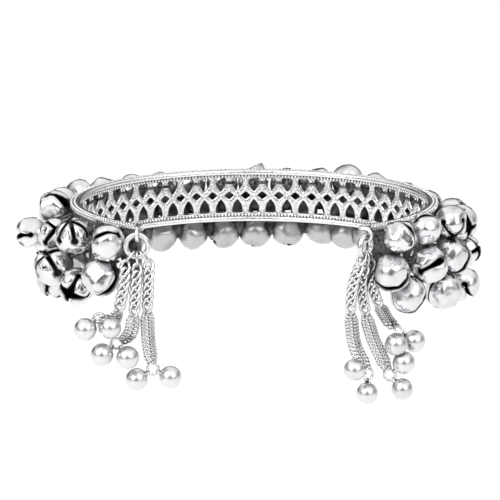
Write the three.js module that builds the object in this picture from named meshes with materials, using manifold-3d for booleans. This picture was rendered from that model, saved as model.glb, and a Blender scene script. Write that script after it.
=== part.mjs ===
// Bell cuff: an open, oval cuff bracelet in white metal. A pierced lattice band runs between two
// rims, jingle bells hang from its posts in three crowded rows, and a tassel of chains with
// ball ends hangs from a jump ring at each end of the opening.
// Millimetres. The origin is on the wrist's axis at half the band's height. +Z is up along that
// axis, and the opening faces -Y. A place on the cuff is given as
//   s  the distance along the band's middle line from the middle of the back, + towards +X
//   n  the distance outwards from that line
//   z  the height

import * as THREE from "three";
import { mergeGeometries, mergeVertices } from "three/addons/utils/BufferGeometryUtils.js";
import Module from "manifold-3d";

const wasm = await Module();
wasm.setup();

// Band
const HALF_WIDTH = 30.95; // the middle line is an ellipse with these two half axes
const HALF_DEPTH = 25.5;
const PITCH = 3.08; // of the lattice's columns
const CELLS = 45; // along the band; the first and the last one are solid
const END = (CELLS * PITCH) / 2; // s where the band stops on both sides of the opening
const WEB = { thick: 0.8, high: 3.85 }; // high: half the height between the rims
const RIM = { across: 0.95, flat: 0.6, middle: 0.5, top: 1.05 }; // heights above the web's edge

// Lattice: each cell has an arched gap above and one below, with a diamond between two cells
const SOLID_DIAMONDS = 3; // between this many cells at each end there is no diamond
const ARCH = { half: 0.93, base: 3.22, shoulder: 1.7, tip: 0.72 }; // z values of the upper one
const DIAMOND = { wide: 0.92, high: 0.75 };

// Bells, and the wire staple that holds each one to a post of the lattice
const BALL = { sides: 10, bands: 4 }; // how every ball is faceted
const BACK = { pitch: 5.25, n: 4.7, radius: 2.92, held: 2 };
// z of the upper row's bells, from left to right
const UPPER_ROW = [2, 2.3, 1.75, 1.3, 1.1, 1, 1, 1.15, 1.3, 1.7, 2.55, 1.6, 0.85, 0.2, -0.5];
const NEST = { reach: 5.42, middleOut: 0.5, lowerOut: -0.8 }; // each lower row nests in the one above
const STAPLE = { wire: 0.22, sides: 3, half: 0.96, inner: -0.76, outer: 0.8, bend: 1.3 };
const FOOT = { apart: 0.5, sunk: 0.75 }; // where a staple's legs end in the bell
const HOLD = { upper: 2.4, middle: -2.2, lower: -2.75 }; // heights at which staples pass the lattice
const LOW = { middle: -1.6, lower: -5.4 }; // bells below these heights hang from the lower holds
const LAST_POST = CELLS / 2 - 2; // in pitches from the middle of the back

const SIDE_BELLS = [
  { name: "bell_left_1", s: -65.7, n: 3.9, z: 2.0, radius: 2.8 },
  { name: "bell_left_2", s: -64.6, n: 4.5, z: -3.9, radius: 2.92 },
  { name: "bell_left_3", s: -58.6, n: 4.6, z: 1.9, radius: 2.85 },
  { name: "bell_left_4", s: -58.6, n: 4.0, z: -6.8, radius: 2.92 },
  { name: "bell_left_5", s: -54.0, n: 5.6, z: -4.4, radius: 3.15 },
  { name: "bell_left_6", s: -50.4, n: 4.1, z: 0.0, radius: 2.7 },
  { name: "bell_left_7", s: -45.9, n: 7.7, z: -0.7, radius: 2.85 },
  { name: "bell_left_8", s: -47.0, n: 3.8, z: -9.0, radius: 2.8 },
  { name: "bell_left_9", s: -42.2, n: 4.1, z: 2.6, radius: 2.85 },
  { name: "bell_left_10", s: -41.6, n: 4.7, z: -4.2, radius: 2.9 },
  { name: "bell_left_11", s: -38.4, n: 3.8, z: -9.4, radius: 2.85 },
  { name: "bell_right_1", s: 66.6, n: 5.0, z: 3.5, radius: 2.92 },
  { name: "bell_right_2", s: 68.0, n: 5.0, z: -2.4, radius: 2.92 },
  { name: "bell_right_3", s: 60.6, n: 4.2, z: 3.5, radius: 2.9 },
  { name: "bell_right_4", s: 60.9, n: 5.4, z: -2.3, radius: 2.92 },
  { name: "bell_right_5", s: 63.9, n: 4.0, z: -7.0, radius: 2.92 },
  { name: "bell_right_6", s: 54.0, n: 5.0, z: 3.4, radius: 2.9 },
  { name: "bell_right_7", s: 54.2, n: 5.4, z: -2.4, radius: 2.92 },
  { name: "bell_right_8", s: 55.8, n: 4.6, z: -8.2, radius: 2.92 },
  { name: "bell_right_9", s: 47.5, n: 4.8, z: 1.5, radius: 2.85 },
  { name: "bell_right_10", s: 45.4, n: 5.8, z: -4.1, radius: 2.85 },
  { name: "bell_right_11", s: 49.0, n: 5.4, z: -8.8, radius: 2.92 },
  { name: "bell_right_12", s: 42.0, n: 3.9, z: 1.2, radius: 2.85 },
  { name: "bell_right_13", s: 39.9, n: 5.1, z: -4.6, radius: 2.8 },
  { name: "bell_right_14", s: 42.2, n: 3.6, z: -10.3, radius: 2.8 },
];

// Tassels
const EYELET = { half: 1.05, wire: 0.3, lift: 0.08, foot: 0.7, sides: 6 }; // foot: from the band's end
const RING = { radius: 1.85, wire: 0.45, sides: 5, segments: 12 };
const FAN = 0.6; // angle round the jump ring between two strands
const WIRE = { sides: 5, segments: 10 }; // of a small link or ring
const FIRST_LINK = { radius: 0.88, length: 2.6, wire: 0.21, gap: 0.16 }; // goes through the jump ring
const LINK = { radius: 0.55, length: 2.4, wire: 0.21, turn: 75 }; // twisted a quarter turn a pitch
const HOOKED = 0.36; // distance between the wires of two hooked links, which touch
const EYE = { half: 0.56, height: 0.54, wire: 0.17 }; // above a fine chain
const FINE = { wide: 0.72, deep: 0.36, sides: 6, steps: 4, overlap: 0.1 }; // half sizes
const DROP_RING = { radius: 0.95, wire: 0.19 };
const DROP_BALL = 1.85; // radius of a ball at a tassel's end
const BAIL = { half: 0.55, height: 0.51, wire: 0.17, sides: 4, sunk: 0.15 };

// ring: the jump ring's centre, and turn: its turn about Z from facing the opening, in degrees.
// way: points that the links hang through; sag: the middle of the doubled fine chain below them;
// drop: the centre of the ring that joins its two balls; balls: where these lie, seen from there.
const TASSELS = [
  {
    side: "left",
    ring: [-19.2, -22.8, 1.9],
    turn: 0,
    strands: [
      {
        links: 4,
        way: [[-21.3, -23.6, -4.0], [-22.4, -23.6, -9.4]],
        sag: [-24.6, -21.2, -13.2],
        drop: [-25.6, -23.3, -10.2],
        balls: [[-27.7, -25.2, -11.6], [-23.4, -25.8, -11.4]],
      },
      {
        links: 4,
        way: [[-19.4, -23.5, -4.4], [-19.8, -23.8, -10.0]],
        sag: [-20.4, -23.9, -12.6],
        drop: [-22.7, -23.2, -14.6],
        balls: [[-24.8, -24.6, -15.9], [-20.8, -25.0, -16.5]],
      },
      {
        links: 4,
        way: [[-17.4, -23.0, -4.4], [-17.7, -22.9, -10.0]],
        sag: [-17.5, -22.6, -14.5],
        drop: [-16.8, -22.6, -19.2],
        balls: [[-19.3, -22.8, -20.8], [-14.3, -22.6, -20.4]],
      },
    ],
  },
  {
    side: "right",
    ring: [18.3, -22.9, 1.85],
    turn: 58,
    strands: [
      {
        links: 4,
        way: [[16.2, -24.4, -4.6], [15.8, -24.2, -9.8]],
        sag: [16.8, -22.9, -15.4],
        drop: [18.9, -24.4, -19.6],
        balls: [[16.4, -26.2, -18.2], [18.7, -24.6, -23.4]],
      },
      {
        links: 4,
        way: [[17.7, -23.1, -4.4], [18.4, -22.8, -9.6]],
        sag: [19.8, -22.3, -14.2],
        drop: [22.6, -22.0, -20.4],
        balls: [[25.1, -22.2, -18.0], [24.9, -22.2, -23.0]],
      },
      {
        links: 4,
        way: [[19.2, -22.3, -3.8], [20.8, -21.2, -9.0]],
        sag: [22.8, -18.8, -12.4],
        drop: [24.2, -19.9, -13.4],
        balls: [[23.5, -22.8, -15.0], [26.7, -19.5, -15.2]],
      },
    ],
  },
];

const UP = new THREE.Vector3(0, 0, 1);
const vec = (xyz) => new THREE.Vector3(...xyz);
const metal = (color, roughness) =>
  new THREE.MeshStandardMaterial({ color, roughness, metalness: 1 });
const FINISH = {
  band: metal(0xc9cacc, 0.28),
  bells: metal(0xd6d7d9, 0.16),
  chain: metal(0xd0d1d3, 0.24),
  balls: metal(0xdcdddd, 0.12),
};

// Places on the cuff

const half = new THREE.EllipseCurve(0, 0, HALF_WIDTH, HALF_DEPTH, Math.PI / 2, -Math.PI / 2, true);
half.arcLengthDivisions = 2000;
const HALF_LENGTH = half.getLength();

function frameAt(s) {
  const along = half.getTangentAt(Math.abs(s) / HALF_LENGTH);
  const point = half.getPointAt(Math.abs(s) / HALF_LENGTH);
  const side = s < 0 ? -1 : 1;
  return {
    point: new THREE.Vector3(side * point.x, point.y, 0),
    along: new THREE.Vector3(along.x, side * along.y, 0),
    out: new THREE.Vector3(side * -along.y, along.x, 0),
  };
}

function place(s, n, z) {
  const { point, out } = frameAt(s);
  return point.clone().addScaledVector(out, n).setZ(z);
}

// Solids

function bare(geometry) {
  const plain = geometry.index ? geometry.toNonIndexed() : geometry.clone();
  plain.deleteAttribute("normal");
  plain.deleteAttribute("uv");
  plain.clearGroups();
  return plain;
}

function moved(geometry, change) {
  const result = bare(geometry);
  const position = result.getAttribute("position");
  for (let i = 0; i < position.count; i++) {
    const to = change(new THREE.Vector3().fromBufferAttribute(position, i));
    position.setXYZ(i, to.x, to.y, to.z);
  }
  return result;
}

function solid(geometry) {
  const merged = mergeVertices(bare(geometry), 1e-4);
  return new wasm.Manifold(
    new wasm.Mesh({
      numProp: 3,
      vertProperties: merged.getAttribute("position").array,
      triVerts: new Uint32Array(merged.index.array),
    }),
  );
}

const joined = (geometries) => geometries.map(solid).reduce((all, next) => all.add(next));

function node(name, geometries, material) {
  const { vertProperties, triVerts } = joined(geometries).getMesh();
  const geometry = new THREE.BufferGeometry();
  geometry.setAttribute("position", new THREE.BufferAttribute(vertProperties, 3));
  geometry.setIndex(new THREE.BufferAttribute(triVerts, 1));
  geometry.computeVertexNormals();
  const mesh = new THREE.Mesh(geometry, material);
  mesh.name = name;
  return mesh;
}

// A wire through points, with flat ends. Its sections keep their first corner towards `up`, where
// they may be wider.
function wire(points, radius, sides, up, wide = radius) {
  const ring = (i) => {
    const before = points[Math.max(i - 1, 0)];
    const after = points[Math.min(i + 1, points.length - 1)];
    const back = points[i].clone().sub(before).normalize();
    const ahead = after.clone().sub(points[i]).normalize();
    const along = back.clone().add(ahead).normalize();
    const reach = radius / Math.max(back.lengthSq() && ahead.lengthSq() ? back.dot(along) : 1, 0.6);
    const a = up.clone().addScaledVector(along, -up.dot(along)).normalize();
    const b = along.clone().cross(a);
    const corners = [];
    for (let k = 0; k < sides; k++) {
      const turn = (2 * Math.PI * k) / sides;
      const corner = points[i].clone().addScaledVector(a, wide * Math.cos(turn));
      corners.push(corner.addScaledVector(b, reach * Math.sin(turn)));
    }
    return corners;
  };
  const rings = points.map((_, i) => ring(i));
  const triangles = [];
  for (let k = 1; k < sides - 1; k++) {
    triangles.push(rings[0][0], rings[0][k + 1], rings[0][k]);
    const last = rings[rings.length - 1];
    triangles.push(last[0], last[k], last[k + 1]);
  }
  for (let i = 0; i + 1 < rings.length; i++)
    for (let k = 0; k < sides; k++) {
      const next = (k + 1) % sides;
      triangles.push(rings[i][k], rings[i][next], rings[i + 1][next]);
      triangles.push(rings[i][k], rings[i + 1][next], rings[i + 1][k]);
    }
  return new THREE.BufferGeometry().setFromPoints(triangles);
}

// Band

// One cell of the lattice in the (s, z) plane.
function cellShape(gaps, leftDiamond, rightDiamond) {
  const edge = PITCH / 2;
  const diamond = [[0, -DIAMOND.high], [-DIAMOND.wide, 0], [0, DIAMOND.high]];
  const right = rightDiamond ? diamond.map(([x, z]) => [edge + x, z]) : [];
  const left = leftDiamond ? diamond.map(([x, z]) => [-edge - x, z]).reverse() : [];
  const corners = [[-edge, -WEB.high], [edge, -WEB.high], ...right];
  corners.push([edge, WEB.high], [-edge, WEB.high], ...left);
  const points = (list, way) => list.map(([x, z]) => new THREE.Vector2(x, way * z));
  const cell = new THREE.Shape(points(corners, 1));
  const { half, base, shoulder, tip } = ARCH;
  const arch = [[-half, base], [half, base], [half, shoulder], [0, tip], [-half, shoulder]];
  if (gaps) cell.holes.push(new THREE.Path(points(arch, 1)), new THREE.Path(points(arch, -1)));
  return cell;
}

// Leaves out the triangles whose three corners all pass a test.
function without(geometry, test) {
  const position = geometry.getAttribute("position");
  const kept = [];
  for (let i = 0; i < position.count; i += 3) {
    const corners = [0, 1, 2].map((k) => new THREE.Vector3().fromBufferAttribute(position, i + k));
    if (!corners.every(test)) kept.push(...corners);
  }
  return new THREE.BufferGeometry().setFromPoints(kept);
}

// The same place for two corners that meet, whatever their rounding errors.
const settled = (...snz) => place(...snz.map((value) => Math.round(value * 1000) / 1000));

// The web's cells side by side, open where they go on into each other and into the rims.
function web() {
  const near = (a, b) => Math.abs(a - b) < 1e-5;
  const cells = [];
  for (let i = 0; i < CELLS; i++) {
    const first = i === 0;
    const last = i === CELLS - 1;
    const leftDiamond = i >= SOLID_DIAMONDS && i <= CELLS - SOLID_DIAMONDS;
    const rightDiamond = i + 1 >= SOLID_DIAMONDS && i + 1 <= CELLS - SOLID_DIAMONDS;
    const shape = cellShape(!first && !last, leftDiamond, rightDiamond);
    const options = { depth: WEB.thick, bevelEnabled: false };
    let cell = bare(new THREE.ExtrudeGeometry(shape, options));
    if (!first) cell = without(cell, (p) => near(p.x, -PITCH / 2));
    if (!last) cell = without(cell, (p) => near(p.x, PITCH / 2));
    cell = without(cell, (p) => near(p.y, WEB.high));
    cell = without(cell, (p) => near(p.y, -WEB.high));
    const middle = (i - (CELLS - 1) / 2) * PITCH;
    cells.push(moved(cell, (p) => settled(middle + p.x, WEB.thick / 2 - p.z, p.y)));
  }
  return mergeGeometries(cells);
}

// The rim above the web or, upside down, below it, open where it stands on the web.
function rim(way) {
  const outer = [[RIM.across, RIM.middle], [RIM.flat, RIM.top]];
  const inner = outer.map(([n, z]) => [-n, z]).reverse();
  const section = [[WEB.thick / 2, 0], ...outer, ...inner, [-WEB.thick / 2, 0]];
  const shape = new THREE.Shape(section.map(([n, z]) => new THREE.Vector2(n, z)));
  const options = { depth: 2 * END, steps: CELLS, bevelEnabled: false };
  const bar = without(bare(new THREE.ExtrudeGeometry(shape, options)), (p) => p.y < 1e-5);
  return moved(bar, (p) => settled(way * (p.z - END), p.x, way * (WEB.high + p.y)));
}

// The eyelet for a jump ring: a wire arch off the band's end, in the upright plane across the ring's
// wire. Both of its legs pass the ring before they turn to the band, and are soldered to it.
function eyelet(tassel) {
  const { half, lift, wire: thick } = EYELET;
  const top = vec(tassel.ring).setZ(tassel.ring[2] + RING.radius + lift);
  const ahead = ringNormal(tassel).negate();
  const foot = place(Math.sign(tassel.ring[0]) * (END - EYELET.foot), 0, 0);
  const at = (out, up) => top.clone().addScaledVector(ahead, out).addScaledVector(UP, up);
  const leg = (way) => [foot.clone().setZ(top.z + way * half), at(-half, way * half)];
  const front = [at(0, half), at(half, half / 2), at(half, -half / 2), at(0, -half)];
  const points = [...leg(1), ...front, ...leg(-1).reverse()];
  return wire(points, thick, EYELET.sides, ahead.clone().cross(UP));
}

// Bells

// A ball with its poles along `axis` and the middle of a face straight along `face`.
function ball(centre, radius, axis, face) {
  const round = new THREE.SphereGeometry(radius, BALL.sides, BALL.bands);
  const turn = new THREE.Matrix4().makeBasis(axis.clone().cross(face), axis, face);
  return bare(round.applyMatrix4(turn).translate(...centre));
}

// The staple goes round the post nearest to the bell: in through the gap on one side, along the
// inside, and out through the other gap. The legs of a low bell's staple go down below the rim.
function staple({ s, n, z, radius }) {
  const nearest = Math.round(s / PITCH - 0.5) + 0.5;
  const post = THREE.MathUtils.clamp(nearest, -LAST_POST, LAST_POST) * PITCH;
  const low = z < LOW.lower;
  const height = low ? HOLD.lower : z < LOW.middle ? HOLD.middle : HOLD.upper;
  const outside = low ? STAPLE.bend : STAPLE.outer;
  const centre = place(s, n, z);
  const toPost = place(post, outside, height).sub(centre).normalize();
  const foot = centre.clone().addScaledVector(toPost, radius * FOOT.sunk);
  const leg = (side) => {
    const gap = post + side * STAPLE.half;
    const end = foot.clone().addScaledVector(frameAt(s).along, side * FOOT.apart);
    return [end, place(gap, outside, height), place(gap, STAPLE.inner, height)];
  };
  const held = wire([...leg(-1), ...leg(1).reverse()], STAPLE.wire, STAPLE.sides, UP);
  return { centre, toPost, held };
}

function sideBell(bell) {
  const { centre, toPost, held } = staple(bell);
  const { along } = frameAt(bell.s);
  const face = toPost.addScaledVector(along, -toPost.dot(along)).normalize();
  return node(bell.name, [ball(centre, bell.radius, along, face), held], FINISH.bells);
}

// Three rows round the back. A bell of the middle row rests between two of the upper row, and one
// of the lower row between two of the middle row. Every second bell of the upper row has a staple.
function backRows() {
  const upper = UPPER_ROW.map((z, i) => {
    const s = (i - (UPPER_ROW.length - 1) / 2) * BACK.pitch;
    return { s, n: BACK.n, z, radius: BACK.radius };
  });
  const nest = (row, out) =>
    row.slice(1).map((right, i) => {
      const left = row[i];
      const apart = place(left.s, left.n, left.z).distanceTo(place(right.s, right.n, right.z));
      const drop = Math.sqrt(NEST.reach ** 2 - (apart / 2) ** 2 - out ** 2);
      const lean = Math.asin((right.z - left.z) / apart);
      const middle = (key) => (left[key] + right[key]) / 2;
      return {
        s: middle("s") + drop * Math.sin(lean),
        n: middle("n") + out,
        z: middle("z") - drop * Math.cos(lean),
        radius: BACK.radius,
      };
    });
  const middle = nest(upper, NEST.middleOut);
  return [upper, middle, nest(middle, NEST.lowerOut)];
}

// The corners of a back bell's face. It looks up or down, and lies between the ball's widest
// section across the band (lean 0) and the next one to the left (lean -1) or right (lean 1).
function faceCorners({ s, n, z, radius }, way, leans) {
  const { along, out } = frameAt(s);
  const half = Math.PI / BALL.sides;
  const corner = (lean, side) => {
    const tilt = (lean * Math.PI) / BALL.bands;
    const across = way * Math.cos(half) * Math.cos(tilt);
    const ahead = side * Math.sin(half) * Math.cos(tilt);
    const at = place(s, n, z).addScaledVector(UP, radius * across);
    return at.addScaledVector(out, radius * ahead).addScaledVector(along, radius * Math.sin(tilt));
  };
  const [first, second] = leans;
  return [corner(first, 1), corner(first, -1), corner(second, -1), corner(second, 1)];
}

// Where two back bells meet they are one: both lose the faces that look at each other, and four
// narrow walls close the seam between these.
function backBells() {
  const rows = backRows();
  const balls = rows.flat().map(({ s, n, z, radius }) =>
    ball(place(s, n, z), radius, frameAt(s).along, UP));
  const position = mergeGeometries(balls).getAttribute("position");
  const corners = [];
  for (let i = 0; i < position.count; i++)
    corners.push(new THREE.Vector3().fromBufferAttribute(position, i));
  const own = (corner) => corners.find((p) => p.distanceTo(corner) < 1e-3);
  const faces = [];
  const walls = [];
  const join = (above, below, side) => {
    const from = faceCorners(above, -1, [0, side]).map(own);
    const to = faceCorners(below, 1, [-side, 0]).map(own);
    faces.push(from, to);
    from.forEach((corner, i) => {
      const next = (i + 1) % from.length;
      const wall = [corner, from[next], to[next], corner, to[next], to[i]];
      walls.push(...(side < 0 ? wall : wall.reverse()));
    });
  };
  for (const [above, below] of [[rows[0], rows[1]], [rows[1], rows[2]]])
    below.forEach((bell, i) => {
      join(above[i], bell, 1);
      join(above[i + 1], bell, -1);
    });
  const open = faces.reduce(
    (all, face) => without(all, (p) => face.some((corner) => corner.distanceTo(p) < 1e-3)),
    mergeGeometries(balls),
  );
  const shell = mergeGeometries([open, new THREE.BufferGeometry().setFromPoints(walls)]);
  const held = rows[0].filter((_, i) => i % BACK.held === 0).map((bell) => staple(bell).held);
  return node("bells_back", [shell, ...held], FINISH.bells);
}

// Tassels

const RIGHT = new THREE.Vector3(1, 0, 0);
const ringTurn = (tassel) => THREE.MathUtils.degToRad(tassel.turn);
const ringNormal = (tassel) => new THREE.Vector3(0, 1, 0).applyAxisAngle(UP, ringTurn(tassel));

function jumpRing(tassel) {
  const ring = hoop(RING.radius, RING.wire, RING.sides, RING.segments);
  ring.rotateX(Math.PI / 2).rotateZ(ringTurn(tassel)).translate(...tassel.ring);
  return node("jump_ring_" + tassel.side, [ring], FINISH.chain);
}

// A closed ring of wire in the XY plane. One edge of its wire faces inwards.
function hoop(radius, thick, sides = WIRE.sides, segments = WIRE.segments) {
  const section = [];
  for (let k = 0; k <= sides; k++) {
    const turn = (2 * Math.PI * (k % sides)) / sides;
    section.push(new THREE.Vector2(radius - thick * Math.cos(turn), -thick * Math.sin(turn)));
  }
  return new THREE.LatheGeometry(section, segments).rotateX(Math.PI / 2);
}

// A link that lies along X in the XY plane, from x = 0 to its length, measured at its wire's middle.
function link({ radius, length, wire: thick }) {
  const stretch = length / 2 - radius;
  const round = hoop(radius, thick).rotateZ(Math.PI / WIRE.segments);
  return moved(round, (p) => p.setX(p.x + length / 2 + Math.sign(p.x) * stretch));
}

// Bends a piece that lies along X onto a curve. Its Y goes to `side`, and before the curve's start
// and past its end the piece goes straight on.
function onCurve(geometry, curve, side) {
  const length = curve.getLength();
  return moved(geometry, (p) => {
    const u = THREE.MathUtils.clamp(p.x / length, 0, 1);
    const along = curve.getTangentAt(u);
    const y = side.clone().addScaledVector(along, -side.dot(along)).normalize();
    const z = along.clone().cross(y);
    const at = curve.getPointAt(u).addScaledVector(along, p.x - u * length);
    return at.addScaledVector(y, p.y).addScaledVector(z, p.z);
  });
}

// A strand's curve starts in the middle of the jump ring's wire and goes straight away from it.
function strandCurve(tassel, strand, index) {
  const away = new THREE.Vector3(0, 0, -1).applyAxisAngle(ringNormal(tassel), (1 - index) * FAN);
  const start = vec(tassel.ring).addScaledVector(away, RING.radius);
  const below = start.clone().addScaledVector(away, FIRST_LINK.length / 2);
  return new THREE.CatmullRomCurve3([start, below, ...strand.way.map(vec)]);
}

const FIRST_TOP = -(RING.wire + FIRST_LINK.wire + FIRST_LINK.gap);
const linkTwist = (x) => ((LINK.turn + (90 * x) / (LINK.length - HOOKED)) * Math.PI) / 180;

// The links of a strand as they lie along X, and where the last one ends.
function straightLinks(count) {
  const links = [link(FIRST_LINK).translate(FIRST_TOP, 0, 0)];
  let end = FIRST_TOP + FIRST_LINK.length;
  for (let i = 0; i < count; i++) {
    const twisted = moved(link(LINK), (p) => p.applyAxisAngle(RIGHT, linkTwist(p.x)));
    links.push(twisted.translate(end - HOOKED, 0, 0));
    end += LINK.length - HOOKED;
  }
  return { links, end };
}

// The doubled fine chain, its two runs side by side in one flat tube, between an eye that goes
// through the last link and the drop ring.
function fineChain(strand, curve, side, end) {
  const { half, height } = EYE;
  const arch = [[half, -half], [0, -half], [-height, -half / 2], [-height, half / 2]];
  arch.push([0, half], [half, half]);
  const turn = linkTwist(LINK.length) + Math.PI / 2;
  const flat = wire(arch.map(([x, y]) => new THREE.Vector3(x, y, 0)), EYE.wire, WIRE.sides, UP);
  const eye = onCurve(flat.rotateX(turn).translate(end, 0, 0), curve, side);
  const ahead = curve.getTangentAt(1);
  const top = curve.getPointAt(1).addScaledVector(ahead, end - curve.getLength() + half - FINE.overlap);
  const { drop, normal } = dropFrame(strand);
  const toChain = vec(strand.sag).sub(drop);
  toChain.addScaledVector(normal, -toChain.dot(normal)).setLength(DROP_RING.radius);
  const low = drop.clone().add(toChain);
  const middle = new THREE.CatmullRomCurve3([top, vec(strand.sag), low]);
  const run = wire(middle.getSpacedPoints(FINE.steps), FINE.deep, FINE.sides, RIGHT, FINE.wide);
  const ring = hoop(DROP_RING.radius, DROP_RING.wire);
  ring.applyQuaternion(new THREE.Quaternion().setFromUnitVectors(UP, normal)).translate(...drop);
  return [eye, run, ring];
}

// The drop ring's plane holds the directions to both balls.
function dropFrame(strand) {
  const drop = vec(strand.drop);
  const ways = strand.balls.map((ball) => vec(ball).sub(drop).normalize());
  return { drop, ways, normal: ways[0].clone().cross(ways[1]).normalize() };
}

function ballAt({ drop, normal }, way) {
  const hook = drop.clone().addScaledVector(way, DROP_RING.radius);
  const at = (across, ahead) =>
    hook.clone().addScaledVector(normal, across).addScaledVector(way, ahead);
  const { half, height } = BAIL;
  const arch = [[-half, half + 0.3], [-half, 0], [-half / 2, -height], [half / 2, -height]];
  arch.push([half, 0], [half, half + 0.3]);
  const bail = wire(arch.map(([x, y]) => at(x, y)), BAIL.wire, BAIL.sides, way.clone().cross(normal));
  return [ball(at(0, half + DROP_BALL - BAIL.sunk), DROP_BALL, normal, way), bail];
}

function strandNodes(tassel, strand, index) {
  const name = tassel.side + "_" + (index + 1);
  const curve = strandCurve(tassel, strand, index);
  const side = ringNormal(tassel);
  const { links, end } = straightLinks(strand.links);
  const chain = links.map((piece) => onCurve(piece, curve, side));
  const frame = dropFrame(strand);
  return [
    node("chain_" + name, chain, FINISH.chain),
    node("fine_chain_" + name, fineChain(strand, curve, side, end), FINISH.chain),
    ...frame.ways.map((way, i) => node(`ball_${name}${"ab"[i]}`, ballAt(frame, way), FINISH.balls)),
  ];
}

const cuff = new THREE.Group();
const strip = mergeGeometries([web(), rim(1), rim(-1)]);
cuff.add(node("band", [strip, ...TASSELS.map(eyelet)], FINISH.band));
cuff.add(...SIDE_BELLS.map(sideBell), backBells());
for (const tassel of TASSELS) {
  cuff.add(jumpRing(tassel));
  tassel.strands.forEach((strand, index) => cuff.add(...strandNodes(tassel, strand, index)));
}

export default cuff;
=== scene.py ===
# The looks of the bell cuff: an open oval band of pierced lattice with grained rims, crowded with
# jingle bells outside, and a tassel of chains with ball ends at each side of the opening.
# Sizes below are millimetres. A place on the cuff is (s, n, z): the distance along the band's middle
# line from the middle of the back, the distance outwards from that line, and the height.

import math
import random

import bmesh
import bpy
import numpy as np
from mathutils import Matrix, Vector, noise


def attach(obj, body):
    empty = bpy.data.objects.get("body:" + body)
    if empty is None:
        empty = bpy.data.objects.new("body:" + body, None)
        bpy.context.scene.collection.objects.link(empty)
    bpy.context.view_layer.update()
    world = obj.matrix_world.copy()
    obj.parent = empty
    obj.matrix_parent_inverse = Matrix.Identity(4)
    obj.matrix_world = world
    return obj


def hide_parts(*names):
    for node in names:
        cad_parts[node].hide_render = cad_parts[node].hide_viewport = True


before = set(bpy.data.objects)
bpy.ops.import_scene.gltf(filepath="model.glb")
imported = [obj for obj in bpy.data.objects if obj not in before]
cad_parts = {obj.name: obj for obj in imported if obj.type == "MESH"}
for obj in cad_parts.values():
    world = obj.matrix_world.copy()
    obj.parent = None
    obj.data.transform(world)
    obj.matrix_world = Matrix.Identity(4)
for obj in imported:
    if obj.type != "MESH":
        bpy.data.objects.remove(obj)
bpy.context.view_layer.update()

MM = 0.001
UP = Vector((0, 0, 1))

# Camera: a little above the level of the cuff, in front of its opening, on a long lens
TILT = math.radians(13)
DISTANCE = 0.4  # metres, from the frame's origin
LENS = 165.6
SENSOR = 36
SHIFT = (-0.008, -0.048)
VIEW_RIGHT = Vector((1, 0, 0))
VIEW_NEAR = Vector((0, -math.cos(TILT), math.sin(TILT)))

# Band, as in the frame
HALF_WIDTH = 30.95  # the middle line is an ellipse with these two half axes
HALF_DEPTH = 25.5
PITCH = 3.08  # of the lattice's columns
CELLS = 45
END = CELLS * PITCH / 2  # s where the band stops on both sides of the opening
WEB_THICK = 0.8
WEB_HIGH = 3.85  # half the height between the rims
SOLID_DIAMONDS = 3  # between this many cells at each end there is no diamond
CORNER_SHARE = 2.2  # a rounded corner takes an edge's length divided by this, at most


def ellipse_table(count=20001):
    """Angles round the oval from the middle of the back, and the lengths along it to each."""
    turn = np.linspace(0, math.pi, count)
    step = np.hypot(np.diff(HALF_WIDTH * np.sin(turn)), np.diff(HALF_DEPTH * np.cos(turn)))
    return turn, np.concatenate(([0], np.cumsum(step)))


TURNS, LENGTHS = ellipse_table()


def frames(s):
    """Points of the middle line and its along and out directions at distances s."""
    s = np.asarray(s, float)
    turn = np.interp(np.abs(s), LENGTHS, TURNS) * np.where(s < 0, -1, 1)
    point = np.stack((HALF_WIDTH * np.sin(turn), HALF_DEPTH * np.cos(turn)), -1)
    along = np.stack((HALF_WIDTH * np.cos(turn), -HALF_DEPTH * np.sin(turn)), -1)
    along /= np.linalg.norm(along, axis=-1, keepdims=True)
    out = np.stack((-along[..., 1], along[..., 0]), -1)
    return point, along, out


def place_all(snz):
    """Millimetre places on the cuff as points in metres."""
    snz = np.asarray(snz, float)
    point, _, out = frames(snz[:, 0])
    xy = point + out * snz[:, 1:2]
    return np.column_stack((xy, snz[:, 2])) * MM


def place(s, n, z):
    return Vector(place_all([(s, n, z)])[0])


def directions(s):
    _, along, out = frames([s])
    return Vector((*along[0], 0)), Vector((*out[0], 0))


# Meshes


class Build:
    """Collects points, faces, each point's patina and painted shade, 0 bright to 1 black, and its
    speckle.
    """

    def __init__(self):
        self.points = []
        self.faces = []
        self.patina_and_shade = []
        self.speckle = []

    def add(self, points, faces, patina_and_shade=0.0, speckle=0.0):
        start = len(self.points)
        self.points.extend(tuple(p) for p in points)
        self.faces.extend(tuple(start + i for i in face) for face in faces)
        level = [patina_and_shade] * len(points) if isinstance(patina_and_shade, (int, float)) else list(patina_and_shade)
        self.patina_and_shade.extend(level)
        self.speckle.extend([speckle] * len(points))

    def make(self, name, material, node):
        """The piece, which stands for that node and takes the finish of that slot."""
        mesh = bpy.data.meshes.new(name)
        mesh.from_pydata(self.points, [], self.faces)
        mesh.polygons.foreach_set("use_smooth", [True] * len(mesh.polygons))
        for key, values in (("patina_and_shade", self.patina_and_shade), ("speckle", self.speckle)):
            level = mesh.attributes.new(key, "FLOAT", "POINT")
            level.data.foreach_set("value", values)
        mesh.materials.append(material)
        mesh.update()
        piece = bpy.data.objects.new(name, mesh)
        bpy.context.scene.collection.objects.link(piece)
        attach(piece, "root")
        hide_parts(node)


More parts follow.
